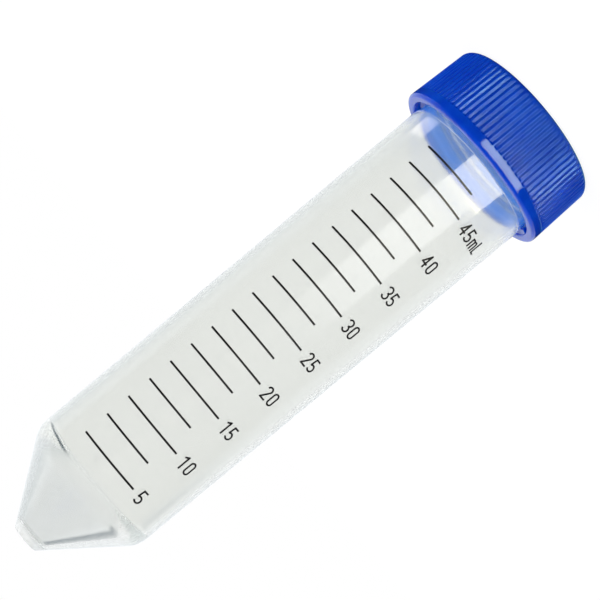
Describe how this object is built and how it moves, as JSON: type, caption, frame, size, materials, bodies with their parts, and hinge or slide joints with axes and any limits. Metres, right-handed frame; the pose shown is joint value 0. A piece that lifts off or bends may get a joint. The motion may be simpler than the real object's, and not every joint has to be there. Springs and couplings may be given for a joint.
{
  "type": "50 ml conical tube",
  "caption": "Conical-bottom centrifuge tube in translucent plastic with a printed volume scale and a ribbed blue screw cap, standing on its cap.",
  "frame": {"origin": "centre of the cap's flat top face, which is the face that the part stands on", "axes": "+Z along the tube's axis from the cap to the tip of the cone; the printed scale faces -Y"},
  "size_m": [0.035, 0.035, 0.1185],
  "materials": {
    "tube": "translucent natural polypropylene, smooth outside, slightly milky",
    "cap": "ultramarine blue moulded polyethylene, satin gloss",
    "liner": "soft pale polyethylene",
    "ink": "black printed ink"
  },
  "bodies": {
    "cap": {"screw_cap": "cap"},
    "liner": {"cap_liner": "liner"},
    "tube": {"tube_body": "tube", "scale_marks": "ink", "scale_numbers": "ink"}
  },
  "joints": [
    {"name": "unscrew_turn", "type": "hinge", "parent": "cap", "child": "liner", "pos_m": [0, 0, 0.0032], "axis": [0, 0, 1], "range_deg": [0, 720]},
    {"name": "unscrew_lift", "type": "slide", "parent": "liner", "child": "tube", "axis": [0, 0, 1], "range_m": [0, 0.0064]}
  ],
  "couplings": [
    {"joint": "unscrew_lift", "follows": "unscrew_turn", "m_per_rad": 0.0005093}
  ]
}
